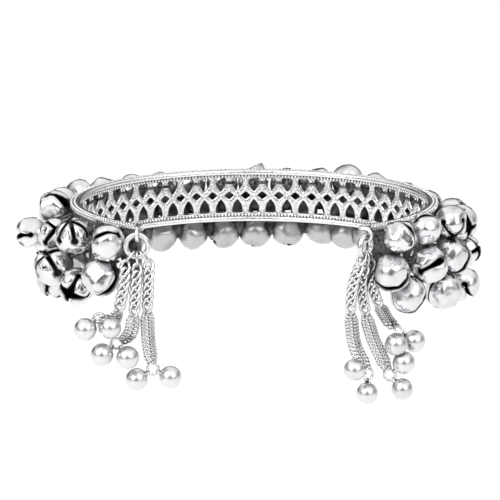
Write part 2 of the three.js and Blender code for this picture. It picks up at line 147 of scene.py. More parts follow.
def smooth_path(points, steps, closed=False):
    """A centripetal Catmull-Rom curve through the points."""
    points = [Vector(p) for p in points]
    count = len(points)
    if closed:
        ring = [points[-1]] + points + points[:2]
    else:
        ring = [2 * points[0] - points[1]] + points + [2 * points[-1] - points[-2]]
    result = []
    for i in range(count if closed else count - 1):
        a, b, c, d = ring[i : i + 4]
        t0 = 0.0
        t1 = t0 + max((b - a).length, 1e-9) ** 0.5
        t2 = t1 + max((c - b).length, 1e-9) ** 0.5
        t3 = t2 + max((d - c).length, 1e-9) ** 0.5
        for k in range(steps):
            t = t1 + (t2 - t1) * k / steps
            ab = a.lerp(b, (t - t0) / (t1 - t0))
            bc = b.lerp(c, (t - t1) / (t2 - t1))
            cd = c.lerp(d, (t - t2) / (t3 - t2))
            abc = ab.lerp(bc, (t - t0) / (t2 - t0))
            bcd = bc.lerp(cd, (t - t1) / (t3 - t1))
            result.append(abc.lerp(bcd, (t - t1) / (t2 - t1)))
    if not closed:
        result.append(points[-1])
    return result


def tube(build, points, radius, sides=8, closed=False, patina_and_shade=0.0):
    """A round wire along the points, its section carried on without twist."""
    count = len(points)
    sections = []
    side = None
    for i, point in enumerate(points):
        before = points[i - 1] if closed or i else points[i]
        after = points[(i + 1) % count] if closed or i + 1 < count else points[i]
        ahead = (after - before).normalized()
        if side is None:
            side = ahead.orthogonal().normalized()
        side = (side - ahead * side.dot(ahead)).normalized()
        up = ahead.cross(side)
        sections.append((point, side.copy(), up))
    twist = 0.0
    if closed:
        first, last = sections[0], sections[-1]
        twist = math.atan2(last[1].dot(first[2]), last[1].dot(first[1]))
    ring = []
    for i, (point, side, up) in enumerate(sections):
        turn = -twist * i / count
        for k in range(sides):
            angle = 2 * math.pi * k / sides + turn
            ring.append(point + side * radius * math.cos(angle) + up * radius * math.sin(angle))
    faces = []
    spans = count if closed else count - 1
    for i in range(spans):
        j = (i + 1) % count
        for k in range(sides):
            m = (k + 1) % sides
            faces.append((i * sides + k, i * sides + m, j * sides + m, j * sides + k))
    if not closed:
        faces.append(tuple(range(sides))[::-1])
        faces.append(tuple((count - 1) * sides + k for k in range(sides)))
    build.add(ring, faces, patina_and_shade)


def hoop_points(centre, normal, radius, count=32):
    """Points round a circle."""
    a = normal.orthogonal().normalized()
    b = normal.cross(a)
    turns = [2 * math.pi * k / count for k in range(count)]
    return [centre + (a * math.cos(t) + b * math.sin(t)) * radius for t in turns]


def on_sphere(lean, turn):
    """The unit direction at an angle from +Z and a turn about it."""
    return Vector((math.sin(lean) * math.cos(turn), math.sin(lean) * math.sin(turn), math.cos(lean)))


def unit_sphere(rings, segments):
    """A ball of radius 1 with a pole at each end."""
    points = [Vector((0, 0, 1))]
    for i in range(1, rings):
        for k in range(segments):
            points.append(on_sphere(math.pi * i / rings, 2 * math.pi * k / segments))
    points.append(Vector((0, 0, -1)))
    faces = [(0, 1 + k, 1 + (k + 1) % segments) for k in range(segments)]
    for i in range(rings - 2):
        for k in range(segments):
            a = 1 + i * segments
            m = (k + 1) % segments
            faces.append((a + k, a + segments + k, a + segments + m, a + m))
    end = len(points) - 1
    start = end - segments
    faces += [(start + (k + 1) % segments, start + k, end) for k in range(segments)]
    return points, faces


def ico_sphere(subdivisions):
    """A ball of radius 1 with even faces."""
    work = bmesh.new()
    bmesh.ops.create_icosphere(work, subdivisions=subdivisions, radius=1)
    points = [v.co.normalized() for v in work.verts]
    faces = [tuple(v.index for v in f.verts) for f in work.faces]
    work.free()
    return points, faces


# Materials

BLACK = (0.035, 0.035, 0.036)
BLACK_ROUGH = 0.55
CLOSED_IN = (0.2, 0.7, 0.85, 0.0)  # openness from and to, blackness from and to
SPOTS = (0.5, 0.75)  # noise above these levels is a dark spot
SPOTS_BARE = 0.3  # their share where the speckle is 0
DENT_HEIGHT = 0.0003  # metres
SCRATCH_HEIGHT = 0.00004
SCRATCH_STRENGTH = 0.15


def silver(name, bright, rough, grain, dents, crevice, spotted=0.8):
    """White metal: black patina and painted shade in its crevices, spots of tarnish, dents and fine
    scratches.

    `grain` is the scale of the spots, `crevice` how wide a gap, in metres, is blackened.
    """
    material = bpy.data.materials.new(name)
    material.use_nodes = True
    nodes, links = material.node_tree.nodes, material.node_tree.links
    shader = nodes["Principled BSDF"]
    shader.inputs["Metallic"].default_value = 1.0
    where = nodes.new("ShaderNodeTexCoord")

    def noise_node(scale, detail, roughness):
        made = nodes.new("ShaderNodeTexNoise")
        made.inputs["Scale"].default_value = scale
        made.inputs["Detail"].default_value = detail
        made.inputs["Roughness"].default_value = roughness
        links.new(where.outputs["Object"], made.inputs["Vector"])
        return made

    def ramp(source, low, high, start, end):
        made = nodes.new("ShaderNodeMapRange")
        made.inputs["From Min"].default_value = low
        made.inputs["From Max"].default_value = high
        made.inputs["To Min"].default_value = start
        made.inputs["To Max"].default_value = end
        links.new(source, made.inputs["Value"])
        return made.outputs["Result"]

    def add(first, second):
        made = nodes.new("ShaderNodeMath")
        made.operation = "ADD"
        made.use_clamp = True
        links.new(first, made.inputs[0])
        links.new(second, made.inputs[1])
        return made.outputs["Value"]

    level = nodes.new("ShaderNodeAttribute")
    level.attribute_name = "patina_and_shade"
    speckle = nodes.new("ShaderNodeAttribute")
    speckle.attribute_name = "speckle"
    # Painted shade: an occlusion node blackens what is closed in, together with the patina there
    shade = nodes.new("ShaderNodeAmbientOcclusion")
    shade.samples = 6
    shade.inputs["Distance"].default_value = crevice
    closed_in = ramp(shade.outputs["AO"], *CLOSED_IN)
    spots = nodes.new("ShaderNodeMath")
    spots.operation = "MULTIPLY"
    tarnish = noise_node(grain, detail=5.0, roughness=0.6)
    links.new(ramp(tarnish.outputs["Fac"], *SPOTS, 0.0, spotted), spots.inputs[0])
    links.new(ramp(speckle.outputs["Fac"], 0.0, 1.0, SPOTS_BARE, 1.0), spots.inputs[1])
    patina_and_shade = add(add(level.outputs["Fac"], closed_in), spots.outputs["Value"])
    colour = nodes.new("ShaderNodeMix")
    colour.data_type = "RGBA"
    colour.inputs["A"].default_value = (*bright, 1)
    colour.inputs["B"].default_value = (*BLACK, 1)
    links.new(patina_and_shade, colour.inputs["Factor"])
    links.new(colour.outputs["Result"], shader.inputs["Base Color"])
    links.new(ramp(patina_and_shade, 0.0, 1.0, rough, BLACK_ROUGH), shader.inputs["Roughness"])
    hollows = nodes.new("ShaderNodeBump")
    hollows.inputs["Strength"].default_value = dents
    hollows.inputs["Distance"].default_value = DENT_HEIGHT
    dented = noise_node(grain * 2, detail=1.0, roughness=0.4)
    links.new(dented.outputs["Fac"], hollows.inputs["Height"])
    scratches = nodes.new("ShaderNodeBump")
    scratches.inputs["Strength"].default_value = SCRATCH_STRENGTH
    scratches.inputs["Distance"].default_value = SCRATCH_HEIGHT
    scratched = noise_node(grain * 12, detail=3.0, roughness=0.5)
    links.new(scratched.outputs["Fac"], scratches.inputs["Height"])
    links.new(hollows.outputs["Normal"], scratches.inputs["Normal"])
    links.new(scratches.outputs["Normal"], shader.inputs["Normal"])
    return material


BAND_SILVER = silver("band_silver", bright=(0.8, 0.8, 0.81), rough=0.17, grain=1300, dents=0.25,
                     crevice=0.0008, spotted=0.5)
BELL_SILVER = silver("bell_silver", bright=(0.76, 0.76, 0.775), rough=0.19, grain=280, dents=0.4,
                     crevice=0.0022)
CHAIN_SILVER = silver("chain_silver", bright=(0.72, 0.72, 0.73), rough=0.19, grain=500, dents=0.1,
                      crevice=0.0012)
BALL_SILVER = silver("ball_silver", bright=(0.72, 0.72, 0.735), rough=0.27, grain=250, dents=0.06,
                     crevice=0.001)

# Band


def rounded(corners, radius, steps=4):
    """The closed outline with each corner replaced by a short curve."""
    result = []
    count = len(corners)
    for i, corner in enumerate(corners):
        corner = Vector(corner)
        before = Vector(corners[i - 1]) - corner
        after = Vector(corners[(i + 1) % count]) - corner
        reach = min(radius, before.length / CORNER_SHARE, after.length / CORNER_SHARE)
        a = corner + before.normalized() * reach
        b = corner + after.normalized() * reach
        for k in range(steps + 1):
            t = k / steps
            result.append(a.lerp(corner, t).lerp(corner.lerp(b, t), t))
    return result


# Gaps as (s, z) corners about their column; the lower arches are these upside down
ARCH = [(-0.93, 3.2), (0.93, 3.2), (0.87, 2.3), (0.67, 1.65), (0, 0.68), (-0.67, 1.65), (-0.87, 2.3)]
ARCH_CORNER = 0.3
DIAMOND = [(0.88, 0), (0, 0.72), (-0.88, 0), (0, -0.72)]
DIAMOND_CORNER = 0.25
BEVEL = 0.28
WEB_LAP = 0.3  # the web reaches this far into the rims
# The outer face, under the bells, is darkened all over: painted shade
OUTER_FACE_SHADE = 0.75
RIM_EDGE_SHADE = {"level": 0.25, "wide": 0.5}  # painted shade of the strips beside the rims


def lattice():
    """The pierced web: one flat outline with its gaps, rounded at every edge, bent round the oval."""
    curve = bpy.data.curves.new("lattice_outline", "CURVE")
    curve.dimensions = "2D"
    curve.fill_mode = "BOTH"
    curve.extrude = WEB_THICK / 2 - BEVEL
    curve.bevel_depth = BEVEL
    curve.bevel_resolution = 1
    curve.offset = -BEVEL

    def outline(points):
        spline = curve.splines.new("POLY")
        spline.points.add(len(points) - 1)
        for target, (x, y) in zip(spline.points, points):
            target.co = (x, y, 0, 1)
        spline.use_cyclic_u = True

    edge = np.linspace(-END, END, CELLS * 3 + 1)
    high = WEB_HIGH + WEB_LAP
    outline([(s, -high) for s in edge] + [(s, high) for s in edge[::-1]])
    for i in range(1, CELLS - 1):
        middle = (i - (CELLS - 1) / 2) * PITCH
        for way in (1, -1):
            arch = rounded([(middle + x, way * z) for x, z in ARCH], ARCH_CORNER)
            outline([tuple(p) for p in arch])
    for i in range(SOLID_DIAMONDS, CELLS - SOLID_DIAMONDS + 1):
        middle = (i - CELLS / 2) * PITCH
        diamond = rounded([(middle + x, z) for x, z in DIAMOND], DIAMOND_CORNER)
        outline([tuple(p) for p in diamond])
    flat = bpy.data.objects.new("lattice_outline", curve)
    bpy.context.scene.collection.objects.link(flat)
    bpy.context.view_layer.update()
    mesh = bpy.data.meshes.new_from_object(flat.evaluated_get(bpy.context.evaluated_depsgraph_get()))
    work = bmesh.new()
    work.from_mesh(mesh)
    bpy.data.objects.remove(flat)
    bpy.data.meshes.remove(mesh)
    # Cuts across the band let it bend
    for i in range(1, 2 * CELLS):
        cut = Vector(((i - CELLS) * PITCH / 2, 0, 0))
        everything = work.verts[:] + work.edges[:] + work.faces[:]
        bmesh.ops.bisect_plane(work, geom=everything, dist=1e-5, plane_co=cut, plane_no=(1, 0, 0))
    bmesh.ops.remove_doubles(work, verts=work.verts, dist=1e-4)
    points = np.array([v.co for v in work.verts])
    faces = [tuple(v.index for v in f.verts) for f in work.faces]
    work.free()
    # Black patina inside the gaps; painted shade on the outer face, under the bells, and beside the
    # rims; bright on the inner face
    depth = np.abs(points[:, 2]) / (WEB_THICK / 2)
    patina_and_shade = np.clip(1.1 - depth * 1.25, 0, 1)
    patina_and_shade = np.maximum(patina_and_shade, OUTER_FACE_SHADE * (points[:, 2] > 0))
    beside_rim = np.abs(points[:, 1]) > WEB_HIGH - RIM_EDGE_SHADE["wide"]
    patina_and_shade = np.maximum(patina_and_shade, RIM_EDGE_SHADE["level"] * beside_rim)
    snz = np.column_stack((points[:, 0], points[:, 2], points[:, 1]))
    return place_all(snz), [face[::-1] for face in faces], patina_and_shade


RIM = {"half": 0.92, "middle": 0.5, "half_height": 0.53, "sides": 24, "spans": 4}  # spans a cell
SQUARE = 0.75  # 1 gives the rim a round section, and less a squarer one
GROOVE = {"deep": 0.14, "at": 0.4, "wide": 0.45}
GROOVE_PATINA = {"level": 0.7, "inner": -0.2, "outer": 0.85, "above": 0.6}


def rim(way):
    """A bar with a soft top groove, swept along the web's edge."""
    stations = np.linspace(-END, END, CELLS * RIM["spans"] + 1)
    section = []
    for k in range(RIM["sides"]):
        turn = 2 * math.pi * k / RIM["sides"]
        c, s = math.cos(turn), math.sin(turn)
        n = RIM["half"] * math.copysign(abs(c) ** SQUARE, c)
        z = RIM["middle"] + RIM["half_height"] * math.copysign(abs(s) ** SQUARE, s)
        if s > 0.5:
            z -= GROOVE["deep"] * math.exp(-(((n - GROOVE["at"]) / GROOVE["wide"]) ** 4))
        section.append((n, z))
    snz = [(s, n, way * (WEB_HIGH + z)) for s in stations for n, z in section]
    sides = len(section)
    faces = []
    for i in range(len(stations) - 1):
        for k in range(sides):
            m = (k + 1) % sides
            face = (i * sides + k, (i + 1) * sides + k, (i + 1) * sides + m, i * sides + m)
            faces.append(face if way < 0 else face[::-1])
    start = tuple(range(sides))
    end = tuple((len(stations) - 1) * sides + k for k in range(sides))
    faces += [start if way > 0 else start[::-1], end[::-1] if way > 0 else end]
    groove = []
    for n, z in section:
        inside = GROOVE_PATINA["inner"] < n < GROOVE_PATINA["outer"] and z > GROOVE_PATINA["above"]
        groove.append(GROOVE_PATINA["level"] if inside else 0.0)
    return place_all(snz), faces, groove * len(stations)


GRAIN_BALL = unit_sphere(4, 7)
GRAIN_ROWS = [
    # pitch, n, height above the web's edge, radius
    (0.62, -0.42, -0.2, 0.3),
    (0.6, 0.12, 0.86, 0.26),
    (0.6, 0.68, 0.78, 0.26),
]
ROW_MARGIN = 0.5  # from a row's end to the band's
POST_GRAINS = [
    # n, z, radius
    (-0.42, 2.9, 0.3),
    (-0.4, 1.25, 0.26),
]
MIDDLE_GRAIN = {"n": -0.4, "radius": 0.3}


def grains(build, s_values, n, z, radius):
    """Small round grains on the band, at one distance and height."""
    ball, faces = GRAIN_BALL
    for s in s_values:
        centre = place(s, n, z)
        build.add([centre + p * radius * MM for p in ball], faces)


def row_of(pitch):
    """Evenly spaced places along the whole band."""
    reach = END - ROW_MARGIN
    return np.linspace(-reach, reach, int(2 * reach / pitch) + 1)


band = Build()
band.add(*lattice(), speckle=1.0)
for way in (1, -1):
    band.add(*rim(way))
for way in (1, -1):
    for pitch, n, above, radius in GRAIN_ROWS:
        grains(band, row_of(pitch), n, way * (WEB_HIGH + above), radius)
posts = [(i - CELLS / 2) * PITCH for i in range(1, CELLS)]
for way in (1, -1):
    for n, z, radius in POST_GRAINS:
        grains(band, posts, n, way * z, radius)
middles = [s + PITCH / 2 for s in posts[:-1]]
grains(band, middles, MIDDLE_GRAIN["n"], 0.0, MIDDLE_GRAIN["radius"])

# Tassels' places, needed for the eyelets

RING = {"radius": 1.85, "wire": 0.45}
EYELET = {"half": 1.05, "wire": 0.3, "lift": 0.08, "foot": 0.7}  # foot: from the band's end
TASSELS = [
    # ring: the jump ring's middle; turn: its turn about the height; way, sag: points on a strand,
    # from the ring down; drop: the middle of the ring that the two balls hang from
    {"side": "left", "ring": (-19.2, -22.8, 1.9), "turn": 0, "strands": [
        {"way": [(-21.3, -23.6, -4.0), (-22.4, -23.6, -9.4)], "sag": (-24.6, -21.2, -13.2),
         "drop": (-25.6, -23.3, -10.2), "balls": [(-27.7, -25.2, -11.6), (-23.4, -25.8, -11.4)]},
        {"way": [(-19.4, -23.5, -4.4), (-19.8, -23.8, -10.0)], "sag": (-20.4, -23.9, -12.6),
         "drop": (-22.7, -23.2, -14.6), "balls": [(-24.8, -24.6, -15.9), (-20.8, -25.0, -16.5)]},
        {"way": [(-17.4, -23.0, -4.4), (-17.7, -22.9, -10.0)], "sag": (-17.5, -22.6, -14.5),
         "drop": (-16.8, -22.6, -19.2), "balls": [(-19.3, -22.8, -20.8), (-14.3, -22.6, -20.4)]}]},
    {"side": "right", "ring": (18.3, -22.9, 1.85), "turn": 58, "strands": [
        {"way": [(16.2, -24.4, -4.6), (15.8, -24.2, -9.8)], "sag": (16.8, -22.9, -15.4),
         "drop": (18.9, -24.4, -19.6), "balls": [(16.4, -26.2, -18.2), (18.7, -24.6, -23.4)]},
        {"way": [(17.7, -23.1, -4.4), (18.4, -22.8, -9.6)], "sag": (19.8, -22.3, -14.2),
         "drop": (22.6, -22.0, -20.4), "balls": [(25.1, -22.2, -18.0), (24.9, -22.2, -23.0)]},
        {"way": [(19.2, -22.3, -3.8), (20.8, -21.2, -9.0)], "sag": (22.8, -18.8, -12.4),
         "drop": (24.2, -19.9, -13.4), "balls": [(23.5, -22.8, -15.0), (26.7, -19.5, -15.2)]}]},
]


def metres(xyz):
    return Vector(xyz) * MM


def ring_normal(tassel):
    """The way that a jump ring's flat side faces."""
    return Matrix.Rotation(math.radians(tassel["turn"]), 3, "Z") @ Vector((0, 1, 0))


def eyelet(tassel):
    """A loop of wire from the band's end round the top of the jump ring."""
    half = EYELET["half"] * MM
    ring = metres(tassel["ring"])
    top = Vector((ring.x, ring.y, ring.z + (RING["radius"] + EYELET["lift"]) * MM))
    ahead = -ring_normal(tassel)
    side = math.copysign(1, ring.x)
    foot = place(side * (END - EYELET["foot"]), 0, 0)

    def leg(way):
        return [Vector((foot.x, foot.y, top.z + way * half)), top - ahead * half + UP * way * half]

    front = [top + ahead * half * math.cos(t) + UP * half * math.sin(t)
             for t in np.linspace(math.pi / 2, -math.pi / 2, 7)]
    path = smooth_path(leg(1) + front + leg(-1)[::-1], 4)
    tube(band, path, EYELET["wire"] * MM, 10)


for tassel in TASSELS:
    eyelet(tassel)
band.make("lattice_band", BAND_SILVER, "band")

# Bells

# Lengths are parts of the bell's radius, and angles start at its mouth
BELL_WALL = 0.09
SLIT = 0.088  # half width of a slit
HOLE = 0.19  # radius of the hole that ends a slit
HOLE_AT = math.radians(76)
GAPE_END = 0.9  # angle at which an open mouth's petals are back in place
TAPER = {"long": 2.6, "wide": 0.6}  # of a slit into its hole, in the hole's radii
CURL = {"deep": 0.12, "wide": 0.15}  # the shell turns in beside its slits and holes
FLATS = 9  # knocks that flatten a bell's shell
FLAT_REACH = (0.77, 0.9)  # nearest and furthest a flat lies from the middle
FLAT_FACING = 0.6  # a flat shapes only what faces it by more than this
SHARP = 70  # of the edges round a flat
DENT = {"deep": 0.09, "scale": 1.6, "low": 0.012, "seed_step": 7.1}
OPEN_FADE = 0.7  # petals stand out fully at this angle from the ends of their slits
TIP_FADE = 0.7  # a petal's ridge is lower where the sine of the angle is less than this
EVEN = 0.35  # share of even spacing of a petal's columns
HALO = {"level": 0.8, "wide": 0.045}  # patina along slits and holes
FURTHEST = 1.05  # no point is further out than this


def half_width(lean, mouth):
    """Half the gap between two petals at that angle from the mouth."""
    away = (lean - HOLE_AT) / HOLE
    hole = HOLE * math.sqrt(max(0.0, 1 - away * away))
    if lean > HOLE_AT:
        return hole
    slit = SLIT + mouth * max(0.0, 1 - lean / GAPE_END) ** 1.5
    taper = HOLE * max(0.0, 1 + away / TAPER["long"]) ** 2 * TAPER["wide"]
    return max(slit, hole, taper)


def bell_shape(petals, rows, columns, mouth, seed, ridge=0.03, step=0.05):
    """A hollow unit bell with its mouth at +Z: petals parted by slits that end in round holes.

    Each petal has a ridge down its middle, and every second one stands out by `step`. The result
    is points, faces and patina with painted shade, and half of the points are further out than 1.
    """
    half_turn = math.pi / petals
    # A petal's tip is where the gaps beside it leave room for it
    tip = 0.01
    while math.sin(tip) < half_width(tip, mouth) / math.sin(half_turn) + 1e-4:
        tip += 0.002
    end = HOLE_AT + HOLE
    leans = list(np.linspace(tip, HOLE_AT - HOLE, rows))[:-1]
    leans += [HOLE_AT - HOLE * math.cos(t) for t in np.linspace(0, math.pi, rows)]
    leans += list(np.linspace(end, math.pi, rows + 1))[1:]
    split = 2 * rows - 2  # the first layer below the slits
    axes = [2 * half_turn * k for k in range(petals)]

    knocks = random.Random(seed)
    flats = []
    for _ in range(FLATS):
        way = Vector([knocks.gauss(0, 1) for _ in range(3)]).normalized()
        flats.append((way, knocks.uniform(*FLAT_REACH)))

    def radius(point, lean):
        """How far out the shell is there, and how near the next slit or hole."""
        near = math.inf
        for turn in axes:
            ahead = Vector((math.cos(turn), math.sin(turn), 0))
            hole = ahead * math.sin(HOLE_AT) + Vector((0, 0, math.cos(HOLE_AT)))
            if lean < HOLE_AT and point.dot(ahead) > -0.1:
                side = abs(point.dot(UP.cross(ahead)))
                near = min(near, max(0.0, side - half_width(lean, mouth)))
            near = min(near, max(0.0, (point - hole).length - HOLE))
        sample = point * DENT["scale"] + Vector((seed * DENT["seed_step"], 0, seed))
        dent = DENT["deep"] * noise.noise(sample) - DENT["low"]
        round_part = 1 - CURL["deep"] * math.exp(-((near / CURL["wide"]) ** 2)) + dent
        total = math.exp(-SHARP * round_part)
        for way, reach in flats:
            facing = point.dot(way)
            if facing > FLAT_FACING:
                total += math.exp(-SHARP * reach / facing)
        return -math.log(total) / SHARP, near

    points, patina_and_shade, outer, inner = [], [], {}, {}
    reaches = []
    for layer, table in ((1.0, outer), (1 - BELL_WALL, inner)):
        for i, lean in enumerate(leans):
            gap = half_width(lean, mouth) if i < split else 0.0
            lost = math.asin(min(1.0, gap / max(1e-6, math.sin(lean))))
            for k in range(petals):
                middle = half_turn * (2 * k + 1)
                for j in range(columns + 1):
                    ease = 0.5 - 0.5 * math.cos(math.pi * j / columns)
                    across = EVEN * j / columns + (1 - EVEN) * ease
                    turn = middle + (2 * across - 1) * max(0.0, half_turn - lost)
                    point = on_sphere(lean, turn)
                    r, near = radius(point, lean)
                    open_part = max(0.0, min(1.0, (end - lean) / OPEN_FADE))
                    open_part *= open_part * (3 - 2 * open_part)
                    crest = (1 - abs(2 * across - 1)) * min(1.0, math.sin(lean) / TIP_FADE)
                    r += open_part * (ridge * crest + step * (k % 2))
                    reaches.append(r)
                    table[i, k, j] = len(points)
                    points.append(point * (r - (1 - layer)))
                    # Patina along the slits and holes outside; the inside of the shell is painted
                    # black: painted shade
                    halo = HALO["level"] * math.exp(-((near / HALO["wide"]) ** 2))
                    patina_and_shade.append(halo if layer == 1 else 1.0)
    faces = []
    for i in range(len(leans) - 1):
        for k in range(petals):
            for j in range(columns):
                a = [(i, k, j), (i + 1, k, j), (i + 1, k, j + 1), (i, k, j + 1)]
                faces.append([outer[c] for c in a])
                faces.append([inner[c] for c in a[::-1]])
            if i < split:
                for j, way in ((0, 1), (columns, -1)):
                    strip = [outer[i, k, j], inner[i, k, j], inner[i + 1, k, j], outer[i + 1, k, j]]
                    faces.append(strip[::way])
    full = sorted(reaches)[len(reaches) // 2]
    return weld([p / max(full, p.length / FURTHEST) for p in points], faces, patina_and_shade)


def weld(points, faces, patina_and_shade):
    """Joins points at the same place and drops what is left of flat faces."""
    place_of, kept, level, index = {}, [], [], []
    for point, value in zip(points, patina_and_shade):
        key = tuple(round(c, 5) for c in point)
        if key not in place_of:
            place_of[key] = len(kept)
            kept.append(point)
            level.append(value)
        index.append(place_of[key])
    result = []
    for face in faces:
        loop = [index[i] for i in face]
        loop = [v for i, v in enumerate(loop) if v != loop[i - 1]]
        if len(set(loop)) > 2:
            result.append(loop)
    return kept, result, level


def turned(mouth, hole):
    """The turn that takes a bell's mouth to `mouth` and its first slit towards `hole`."""
    z = mouth.normalized()
    x = (hole - z * hole.dot(z)).normalized()
    return Matrix((x, z.cross(x), z)).transposed()


def front(x, z):
    """The direction whose place on a bell seen from the front is (x, z), of its radius."""
    return Vector((x, -math.sqrt(max(0.0, 1 - x * x - z * z)), z)).normalized()


def by_hole(hole, toward):
    """The turn of a bell with a hole at the first place and its slit towards the second."""
    h, q = front(*hole), front(*toward)
    ahead = (q - h * q.dot(h)).normalized()
    return turned(h * math.cos(HOLE_AT) + ahead * math.sin(HOLE_AT), h)


def by_mouth(mouth, toward):
    """The turn of a bell with its mouth at the first place and a slit towards the second."""
    return turned(front(*mouth), front(*toward))


def outwards(s, random_turn, highest=0.3):
    """A mouth that looks away from the band, mostly somewhat down, with a chance lean and roll."""
    along, out = directions(s)
    mouth = out + along * random_turn.uniform(-0.6, 0.6) + UP * random_turn.uniform(-0.9, highest)
    side = Matrix.Rotation(random_turn.uniform(0, math.pi), 3, mouth.normalized()) @ along
    return turned(mouth, side)


SIDE_BELLS = [
    # name, s, n, z, radius, petals, opening of the mouth, ridge, turn
    ("left_1", -65.7, 3.9, 2.0, 2.8, 2, 0.14, 0.03, by_mouth((-0.52, 0.62), (0.62, 0.66))),
    ("left_2", -64.6, 4.5, -3.9, 2.92, 2, 0.12, 0.03, by_mouth((0.56, -0.58), (0.9, 0.2))),
    ("left_3", -58.6, 4.6, 1.9, 2.85, 6, 0.02, 0.08, by_mouth((-0.1, 0.93), (0.15, 0.0))),
    ("left_4", -58.6, 4.0, -6.8, 2.92, 4, 0.3, 0.07, by_mouth((-0.4, -0.25), (0.1, 0.7))),
    ("left_5", -54.0, 5.6, -4.4, 3.15, 4, 0.06, 0.03, by_mouth((-0.35, 0.8), (0.25, 0.0))),
    ("left_6", -50.4, 4.1, 0.0, 2.7, 4, 0.1, 0.08, by_mouth((0.2, 0.6), (-0.5, -0.2))),
    ("left_7", -45.9, 7.7, -0.7, 2.85, 2, 0.35, 0.08, by_mouth((-0.95, -0.05), (0.1, 0.05))),
    ("left_8", -47.0, 3.8, -9.0, 2.8, 4, 0.1, 0.03, by_mouth((-0.2, -0.97), (0.9, 0.3))),
    ("left_9", -42.2, 4.1, 2.6, 2.85, 2, 0.3, 0.06, by_mouth((0.72, 0.5), (-0.15, 0.93))),
    ("left_10", -41.6, 4.7, -4.2, 2.9, 4, 0.1, 0.03, None),
    ("left_11", -38.4, 3.8, -9.4, 2.85, 4, 0.1, 0.03, None),
    ("right_1", 66.6, 5.0, 3.5, 2.92, 2, 0.12, 0.03, by_mouth((0.66, 0.56), (0.84, -0.42))),
    ("right_2", 68.0, 5.0, -2.4, 2.92, 2, 0.12, 0.03, by_mouth((-0.05, -0.74), (0.85, -0.3))),
    ("right_3", 60.6, 4.2, 3.5, 2.9, 2, 0.04, 0.03, by_hole((-0.68, 0.66), (0.0, 0.98))),
    ("right_4", 60.9, 5.4, -2.3, 2.92, 2, 0.16, 0.03, by_hole((-0.59, -0.22), (0.3, 0.25))),
    ("right_5", 63.9, 4.0, -7.0, 2.92, 2, 0.1, 0.03, by_mouth((0.0, -0.93), (0.95, -0.1))),
    ("right_6", 54.0, 5.0, 3.4, 2.9, 4, 0.1, 0.03, by_hole((-0.62, 0.1), (-0.1, -0.7))),
    ("right_7", 54.2, 5.4, -2.4, 2.92, 2, 0.12, 0.03, by_mouth((0.58, -0.6), (0.9, 0.25))),
    ("right_8", 55.8, 4.6, -8.2, 2.92, 2, 0.04, 0.03, by_mouth((-0.9, -0.1), (-0.6, 0.6))),
    ("right_9", 47.5, 4.8, 1.5, 2.85, 4, 0.12, 0.03, by_mouth((0.5, -0.2), (0.0, 0.9))),
    ("right_10", 45.4, 5.8, -4.1, 2.85, 4, 0.1, 0.03, by_mouth((0.8, 0.3), (0.1, 0.0))),
    ("right_11", 49.0, 5.4, -8.8, 2.92, 2, 0.2, 0.03, by_hole((0.1, 0.15), (0.45, -0.75))),
    ("right_12", 42.0, 3.9, 1.2, 2.85, 4, 0.1, 0.03, None),
    ("right_13", 39.9, 5.1, -4.6, 2.8, 4, 0.1, 0.03, None),
    ("right_14", 42.2, 3.6, -10.3, 2.8, 4, 0.1, 0.03, None),
]
OUTERMOST = ("left_7", "right_1", "right_3", "right_6", "right_10")  # kept in the frame's box
SIDE_SIZE = {"outermost": 0.945, "other": 1.07}  # of its solid's radius, for a bell's median reach
SIDE_FINE = {"rows": 10, "columns": 24}  # columns of all the petals together
BACK = {"pitch": 5.25, "n": 4.7, "radius": 2.92}
# Heights of the upper row's bells, from left to right
UPPER_ROW = [2, 2.3, 1.75, 1.3, 1.1, 1, 1, 1.15, 1.3, 1.7, 2.55, 1.6, 0.85, 0.2, -0.5]
NEST = {"reach": 5.42, "middle_out": 0.5, "lower_out": -0.8}  # each lower row nests in the one above
BACK_SWELL = (1.0, 0.97, 1.03)  # of the three rows, so that they close up behind the lattice
BACK_SEEDS = range(30, 36)
UPPER_MOUTHS = -0.7  # the upper row's mouths look down at least this much
LOWER_ROW_SHADE = 0.3  # painted shade all over the lower row
# A staple's wire is painted near black: painted shade, where it runs between its bell and the lattice
STAPLE = {"wire": 0.2, "half": 0.96, "inner": -0.55, "outer": 0.8, "bend": 1.3, "patina_and_shade": 0.85}
FOOT = {"apart": 0.5, "sunk": 0.75}  # where a staple's legs end in the bell
HOLD = {"upper": 2.4, "middle": -2.2, "lower": -2.75}  # heights at which staples pass the lattice
LOW = {"middle": -1.6, "lower": -5.4}  # bells below these heights hang from the lower holds
LAST_POST = CELLS / 2 - 2  # in pitches from the middle of the back
SHRINK = 0.99
# Painted shade: a bell's side towards the band is darker, by `bare` everywhere, and by up to `hidden`
# more behind the lattice. That fades out over `fade` at `depth` below the band's middle, and to
# `least` at
# `above` over it.
INWARD = {"from": 0.25, "over": 0.4, "bare": 0.05, "hidden": 0.8}
BEHIND = {"depth": 5.6, "fade": 1.5, "above": 2, "least": 0.1}
PEAK = {"way": Vector((0.36, 0, 1)).normalized(), "wide": 0.3, "high": 0.42}  # a crushed petal's point
SHADE_LUMP = {"radius": 1.75, "up": 0.95, "patina_and_shade": 0.85}  # dark lumps filling the gaps between the lower rows' bells: painted shade


def bent(points, radius, steps=3):
    """The open path with its corners rounded."""
    result = [points[0]]
    for before, corner, after in zip(points, points[1:], points[2:]):
        back, ahead = before - corner, after - corner
        a = corner + back.normalized() * min(radius, back.length / CORNER_SHARE)
        b = corner + ahead.normalized() * min(radius, ahead.length / CORNER_SHARE)
        for k in range(steps + 1):
            t = k / steps
            result.append(a.lerp(corner, t).lerp(corner.lerp(b, t), t))
    result.append(points[-1])
    return result


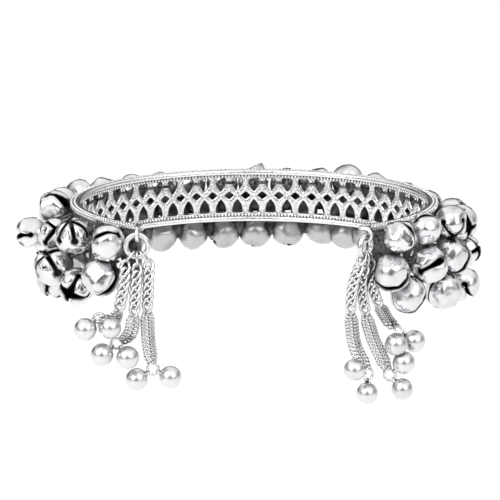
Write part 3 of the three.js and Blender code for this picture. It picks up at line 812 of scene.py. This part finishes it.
def staple(build, s, n, z, radius):
    """The wire from a bell round the nearest post of the lattice and back."""
    post = max(-LAST_POST, min(LAST_POST, round(s / PITCH - 0.5) + 0.5)) * PITCH
    level = "lower" if z < LOW["lower"] else "middle" if z < LOW["middle"] else "upper"
    height = HOLD[level]
    outside = STAPLE["bend"] if level == "lower" else STAPLE["outer"]
    centre = place(s, n, z)
    to_post = (place(post, outside, height) - centre).normalized()
    foot = centre + to_post * radius * FOOT["sunk"] * MM
    along, _ = directions(s)

    def leg(way):
        gap = post + way * STAPLE["half"]
        return [foot + along * way * FOOT["apart"] * MM, place(gap, outside, height),
                place(gap, STAPLE["inner"], height)]

    path = bent(leg(-1) + leg(1)[::-1], 0.4 * MM)
    tube(build, path, STAPLE["wire"] * MM, 8, patina_and_shade=STAPLE["patina_and_shade"])


def add_bell(build, shape, s, n, z, radius, turn, peak=0.0, grey=0.0):
    """A bell, with painted shade on the side towards the band; `peak` draws its top out into a point.
    """
    points, faces, patina_and_shade = shape
    centre = place(s, n, z)
    _, out = directions(s)
    placed, level = [], []
    for point, dark in zip(points, patina_and_shade):
        p = turn @ point
        away = (p.normalized() - PEAK["way"]).length
        spike = math.exp(-(away / PEAK["wide"]) ** 2) if peak else 0.0
        p = p * (1 + peak * spike)
        placed.append(centre + p * (radius * SHRINK * MM))
        inwards = max(0.0, min(1.0, (-INWARD["from"] - p.dot(out)) / INWARD["over"]))
        height = z + p.z * radius
        hidden = max(0.0, min(1.0, (height + BEHIND["depth"]) / BEHIND["fade"]))
        hidden *= max(BEHIND["least"], min(1.0, 1 - height / BEHIND["above"]))
        shadow = (INWARD["bare"] + INWARD["hidden"] * hidden) * inwards
        level.append(min(1.0, dark + grey + shadow + spike**2))
    build.add(placed, faces, level)


def back_rows():
    """Places of the back's bells: three rows, each nested under the one above."""
    upper = []
    for i, z in enumerate(UPPER_ROW):
        upper.append(((i - (len(UPPER_ROW) - 1) / 2) * BACK["pitch"], BACK["n"], z))

    def nest(row, out):
        result = []
        for left, right in zip(row, row[1:]):
            apart = (place(*left) - place(*right)).length / MM
            drop = math.sqrt(NEST["reach"] ** 2 - (apart / 2) ** 2 - out**2)
            lean = math.asin((right[2] - left[2]) / apart)
            s, n, z = [(a + b) / 2 for a, b in zip(left, right)]
            result.append((s + drop * math.sin(lean), n + out, z - drop * math.cos(lean)))
        return result

    middle = nest(upper, NEST["middle_out"])
    return upper, middle, nest(middle, NEST["lower_out"])


chance = random.Random(11)
for i, (name, s, n, z, radius, petals, mouth, ridge, turn) in enumerate(SIDE_BELLS):
    bell = Build()
    shape = bell_shape(petals, SIDE_FINE["rows"], SIDE_FINE["columns"] // petals, mouth, i, ridge)
    full = radius * SIDE_SIZE["outermost" if name in OUTERMOST else "other"]
    add_bell(bell, shape, s, n, z, full, turn or outwards(s, chance))
    staple(bell, s, n, z, radius)
    bell.make("jingle_" + name, BELL_SILVER, "bell_" + name)

BACK_SHAPES = [bell_shape(4, 7, 6, 0.1, seed) for seed in BACK_SEEDS]
LUMP_POINTS, LUMP_FACES = ico_sphere(3)
upper_row, middle_row, lower_row = back_rows()
back = Build()
for row, swell in zip((upper_row, middle_row, lower_row), BACK_SWELL):
    for i, (s, n, z) in enumerate(row):
        peak = PEAK["high"] if row is upper_row and i == len(row) // 2 else 0.0
        # The lower row takes painted shade all over
        grey = LOWER_ROW_SHADE if row is lower_row else 0.0
        shape = chance.choice(BACK_SHAPES)
        turn = outwards(s, chance, UPPER_MOUTHS) if row is upper_row else outwards(s, chance)
        add_bell(back, shape, s, n, z, BACK["radius"] * swell, turn, peak, grey)
        if row is upper_row:
            staple(back, s, n, z, BACK["radius"])
# Dark lumps between neighbouring bells of the lower rows stand for the shade in their gaps
for row in (middle_row, lower_row):
    for left, right in zip(row, row[1:]):
        middle = (place(*left) + place(*right)) / 2 + UP * SHADE_LUMP["up"] * MM
        lump = [middle + p * SHADE_LUMP["radius"] * MM for p in LUMP_POINTS]
        back.add(lump, LUMP_FACES, SHADE_LUMP["patina_and_shade"])
back.make("jingles_back", BELL_SILVER, "bells_back")

# Tassels

FAN = 0.6  # angle round the jump ring between two strands
STRAIGHT = 1.3  # a strand leaves the ring straight on for this length
FIRST_LINK = {"half": 1.15, "wide": 0.72, "wire": 0.21}  # goes through the jump ring
HOOKED = 0.42  # overlap of the first link and the next one
CURB = {"count": 6, "half": 1.2, "wide": 0.7, "wire": 0.31, "twist": math.radians(44)}
CURB_START = -0.82  # lengths along the strand, from the jump ring's wire
CURB_END = 9.94
FINE_RUN = {"pitch": 0.63, "half": 0.4, "wide": 0.45, "wire": 0.18, "twist": math.radians(40)}
RUNS_APART = {"middle": 0.62, "ends": 0.25}  # half the distance, and its share at both ends
RUN_SHADE = {-1: 0.0, 1: 0.3}  # painted shade of the run on each side: the right-hand run is darker
INTO_CURB = 0.2  # the fine chain starts this far up the coarse one
DROP_RING = {"radius": 0.95, "wire": 0.247}
DROP_BALL = 1.85
BALL_POINTS, BALL_FACES = ico_sphere(5)
BALL_AT = 3.2  # distance of a ball's middle from its ring's
BALL_SIZE = {"lowest": 0.975, "other": 1.02}
LOWEST = ("drop_right_1a", "drop_right_1b", "drop_right_2b", "drop_left_1b")  # kept in the box
CROWN = {"patina_and_shade": 0.6, "from": 0.93}  # tarnish round a ball's bail
BAIL = {"half": 0.55, "height": 0.51, "wire": 0.17, "sunk": 0.15}
COLLAR = {"radius": 0.42, "wire": 0.1, "sunk": 0.02, "patina_and_shade": 0.3}


def curb_link(build, at, a, b, wire, twist, patina_and_shade=0.0, steps=20, sides=7):
    """An oval link twisted about its length; `at` gives its middle, its along and two side axes."""
    middle, along, side, up = at
    points = []
    for k in range(steps):
        t = 2 * math.pi * k / steps
        lean = twist * math.cos(t)
        across = (side * math.cos(lean) + up * math.sin(lean)) * (b * math.sin(t))
        points.append(middle + along * (a * math.cos(t)) + across)
    tube(build, points, wire, sides, closed=True, patina_and_shade=patina_and_shade)


def measured(path):
    """The length along the path to each of its points."""
    lengths = [0.0]
    for a, b in zip(path, path[1:]):
        lengths.append(lengths[-1] + (b - a).length)
    return lengths


def at_length(path, lengths, distance, side):
    """The point, along, side and up at that distance; beyond the ends the path goes straight on."""
    i = 0
    while i < len(path) - 2 and lengths[i + 1] < distance:
        i += 1
    along = (path[i + 1] - path[i]).normalized()
    point = path[i] + along * (distance - lengths[i])
    across = (side - along * side.dot(along)).normalized()
    return point, along, across, along.cross(across)


def drop_frame(strand):
    """The drop ring's middle, the ways from it to the two balls, and the way that it faces."""
    drop = metres(strand["drop"])
    ways = [(metres(ball) - drop).normalized() for ball in strand["balls"]]
    return drop, ways, ways[0].cross(ways[1]).normalized()


def strand_path(tassel, strand, index):
    """The line that a coarse chain follows, and the way that it leaves the jump ring."""
    turn = Matrix.Rotation((1 - index) * FAN, 3, ring_normal(tassel))
    away = turn @ Vector((0, 0, -1))
    start = metres(tassel["ring"]) + away * RING["radius"] * MM
    below = start + away * STRAIGHT * MM
    return smooth_path([start, below] + [metres(p) for p in strand["way"]], 24), away


def chain(tassel, strand, index, tag):
    """The coarse curb chain of a strand, from the jump ring down; gives the place of its end."""
    path, away = strand_path(tassel, strand, index)
    lengths = measured(path)
    build = Build()
    side = ring_normal(tassel).cross(away) if tassel["side"] == "left" else VIEW_RIGHT
    half = FIRST_LINK["half"]
    first = at_length(path, lengths, (CURB_START + half) * MM, ring_normal(tassel))
    curb_link(build, first, half * MM, FIRST_LINK["wide"] * MM, FIRST_LINK["wire"] * MM, 0.0)
    start = CURB_START + 2 * half - HOOKED
    pitch = (CURB_END - start - 2 * CURB["half"]) / (CURB["count"] - 1)
    for i in range(CURB["count"]):
        distance = (start + CURB["half"] + i * pitch) * MM
        at = at_length(path, lengths, distance, side)
        curb_link(build, at, CURB["half"] * MM, CURB["wide"] * MM, CURB["wire"] * MM, CURB["twist"])
    build.make("curb_" + tag, CHAIN_SILVER, "chain_" + tag)
    return at_length(path, lengths, CURB_END * MM, side)


def fine_chain(strand, top, tag):
    """The doubled fine chain down to the drop ring, with that ring."""
    build = Build()
    end, ahead, _, _ = top
    drop, _, normal = drop_frame(strand)
    sag = metres(strand["sag"])
    to_chain = sag - drop
    to_chain = (to_chain - normal * to_chain.dot(normal)).normalized() * DROP_RING["radius"] * MM
    low = drop + to_chain
    path = smooth_path([end - ahead * INTO_CURB * MM, sag, low], 40)
    lengths = measured(path)
    count = round(lengths[-1] / (FINE_RUN["pitch"] * MM))
    pitch = lengths[-1] / count
    for way in (-1, 1):
        for i in range(count):
            at = at_length(path, lengths, (i + 0.5) * pitch, VIEW_RIGHT)
            part = (i + 0.5) / count
            bulge = min(1.0, 6 * part * (1 - part) + RUNS_APART["ends"])
            spread = RUNS_APART["middle"] * bulge * MM
            point, along, side, up = at
            # One run is darker than the other: painted shade
            curb_link(build, (point + side * way * spread, along, side, up), FINE_RUN["half"] * MM,
                      FINE_RUN["wide"] * MM, FINE_RUN["wire"] * MM, FINE_RUN["twist"],
                      RUN_SHADE[way], steps=12, sides=5)
    ring = hoop_points(drop, normal, DROP_RING["radius"] * MM)
    tube(build, ring, DROP_RING["wire"] * MM, 8, closed=True)
    build.make("fine_" + tag, CHAIN_SILVER, "fine_chain_" + tag)


def drop_ball(strand, way, tag):
    """A ball with a bail on the drop ring and a collar round the bail's foot."""
    drop, _, normal = drop_frame(strand)
    name = "drop_" + tag
    centre = drop + way * BALL_AT * MM
    build = Build()
    radius = DROP_BALL * BALL_SIZE["lowest" if name in LOWEST else "other"] * MM
    patina_and_shade = []
    for p in BALL_POINTS:
        crown = max(0.0, -p.dot(way) - CROWN["from"]) / (1 - CROWN["from"])
        patina_and_shade.append(CROWN["patina_and_shade"] * crown)
    build.add([centre + p * radius for p in BALL_POINTS], BALL_FACES, patina_and_shade)
    loop_middle = centre - way * (DROP_BALL + BAIL["height"] / 2 - BAIL["sunk"]) * MM
    loop = hoop_points(loop_middle, normal.cross(way).normalized(), BAIL["half"] * MM, 20)
    tube(build, loop, BAIL["wire"] * MM, 8, closed=True)
    foot = centre - way * (DROP_BALL - COLLAR["sunk"]) * MM
    collar = hoop_points(foot, way, COLLAR["radius"] * MM, 16)
    tube(build, collar, COLLAR["wire"] * MM, 6, closed=True, patina_and_shade=COLLAR["patina_and_shade"])
    build.make(name, BALL_SILVER, "ball_" + tag)


def jump_ring(tassel):
    """The ring that holds a tassel."""
    build = Build()
    ring = hoop_points(metres(tassel["ring"]), ring_normal(tassel), RING["radius"] * MM, 48)
    tube(build, ring, RING["wire"] * MM, 14, closed=True)
    build.make("split_ring_" + tassel["side"], CHAIN_SILVER, "jump_ring_" + tassel["side"])


for tassel in TASSELS:
    jump_ring(tassel)
    for index, strand in enumerate(tassel["strands"]):
        tag = tassel["side"] + "_" + str(index + 1)
        top = chain(tassel, strand, index, tag)
        fine_chain(strand, top, tag)
        _, ways, _ = drop_frame(strand)
        for letter, way in zip("ab", ways):
            drop_ball(strand, way, tag + letter)

# Stage

FLOOR = {"half": 5, "height": -0.12, "grey": 0.92, "rough": 0.6}  # metres
KEY = {"at": (-0.3, -0.35, 0.45), "size": 0.25, "power": 1.2, "aim": (0, 0, -0.005)}


def plain(name, grey, rough):
    """An even grey."""
    material = bpy.data.materials.new(name)
    material.use_nodes = True
    shader = material.node_tree.nodes["Principled BSDF"]
    shader.inputs["Base Color"].default_value = (grey, grey, grey, 1)
    shader.inputs["Roughness"].default_value = rough
    return material


def floor():
    """A wide pale floor."""
    half = FLOOR["half"]
    corners = ((-half, -half), (half, -half), (half, half), (-half, half))
    mesh = bpy.data.meshes.new("floor")
    mesh.from_pydata([(x, y, FLOOR["height"]) for x, y in corners], [], [(0, 1, 2, 3)])
    mesh.materials.append(plain("floor_white", FLOOR["grey"], FLOOR["rough"]))
    made = bpy.data.objects.new("floor", mesh)
    bpy.context.scene.collection.objects.link(made)


def key_lamp():
    """A square soft box, above and in front to the left."""
    data = bpy.data.lights.new("key", "AREA")
    data.shape = "SQUARE"
    data.size = KEY["size"]
    data.energy = KEY["power"]
    made = bpy.data.objects.new("key", data)
    made.location = KEY["at"]
    toward = Vector(KEY["aim"]) - Vector(KEY["at"])
    made.rotation_euler = toward.to_track_quat("-Z", "Y").to_euler()
    bpy.context.scene.collection.objects.link(made)


STUDIO_BASE = 0.64  # brightness of the room
STUDIO = [
    # direction, angles in degrees where it starts and is full, added brightness
    ((0, 0.2, 1), 70, 35, 0.5),
    ((0, -0.97, 0.22), 27, 8, -0.5),
    ((-0.55, -0.6, 0.55), 30, 18, 1.6),
    ((0.5, -0.65, 0.55), 28, 16, 1.6),
    ((-0.75, 0.6, 0.25), 26, 12, -0.6),
    ((0.95, 0.1, 0.2), 20, 10, -0.35),
    ((-0.85, -0.4, 0.05), 22, 8, -0.5),
    ((0.7, -0.6, 0.0), 14, 7, -0.35),
    ((0.1, 1, 0.28), 34, 14, -0.6),
]


def studio():
    """A white studio all round, with brighter and darker panels for the metal to reflect."""
    world = bpy.data.worlds.new("studio")
    bpy.context.scene.world = world
    world.use_nodes = True
    nodes, links = world.node_tree.nodes, world.node_tree.links
    where = nodes.new("ShaderNodeTexCoord")
    total = None
    for direction, outer, inner, amount in STUDIO:
        dot = nodes.new("ShaderNodeVectorMath")
        dot.operation = "DOT_PRODUCT"
        links.new(where.outputs["Generated"], dot.inputs[0])
        dot.inputs[1].default_value = Vector(direction).normalized()
        patch = nodes.new("ShaderNodeMapRange")
        patch.interpolation_type = "SMOOTHSTEP"
        patch.inputs["From Min"].default_value = math.cos(math.radians(outer))
        patch.inputs["From Max"].default_value = math.cos(math.radians(inner))
        patch.inputs["To Max"].default_value = amount
        links.new(dot.outputs["Value"], patch.inputs["Value"])
        add = nodes.new("ShaderNodeMath")
        add.operation = "ADD"
        if total is None:
            add.inputs[1].default_value = STUDIO_BASE
        else:
            links.new(total, add.inputs[1])
        links.new(patch.outputs["Result"], add.inputs[0])
        total = add.outputs["Value"]
    background = nodes["Background"]
    background.inputs["Color"].default_value = (1, 1, 1, 1)
    links.new(total, background.inputs["Strength"])


def camera():
    """The view of the cuff from the front."""
    data = bpy.data.cameras.new("camera")
    data.lens = LENS
    data.sensor_width = SENSOR
    data.shift_x, data.shift_y = SHIFT
    data.clip_start = 0.01
    data.clip_end = 20
    made = bpy.data.objects.new("camera", data)
    made.location = VIEW_NEAR * DISTANCE
    made.rotation_euler = (math.pi / 2 - TILT, 0, 0)
    bpy.context.scene.collection.objects.link(made)
    bpy.context.scene.camera = made


floor()
camera()
key_lamp()
studio()
bpy.context.scene.view_settings.view_transform = "Standard"
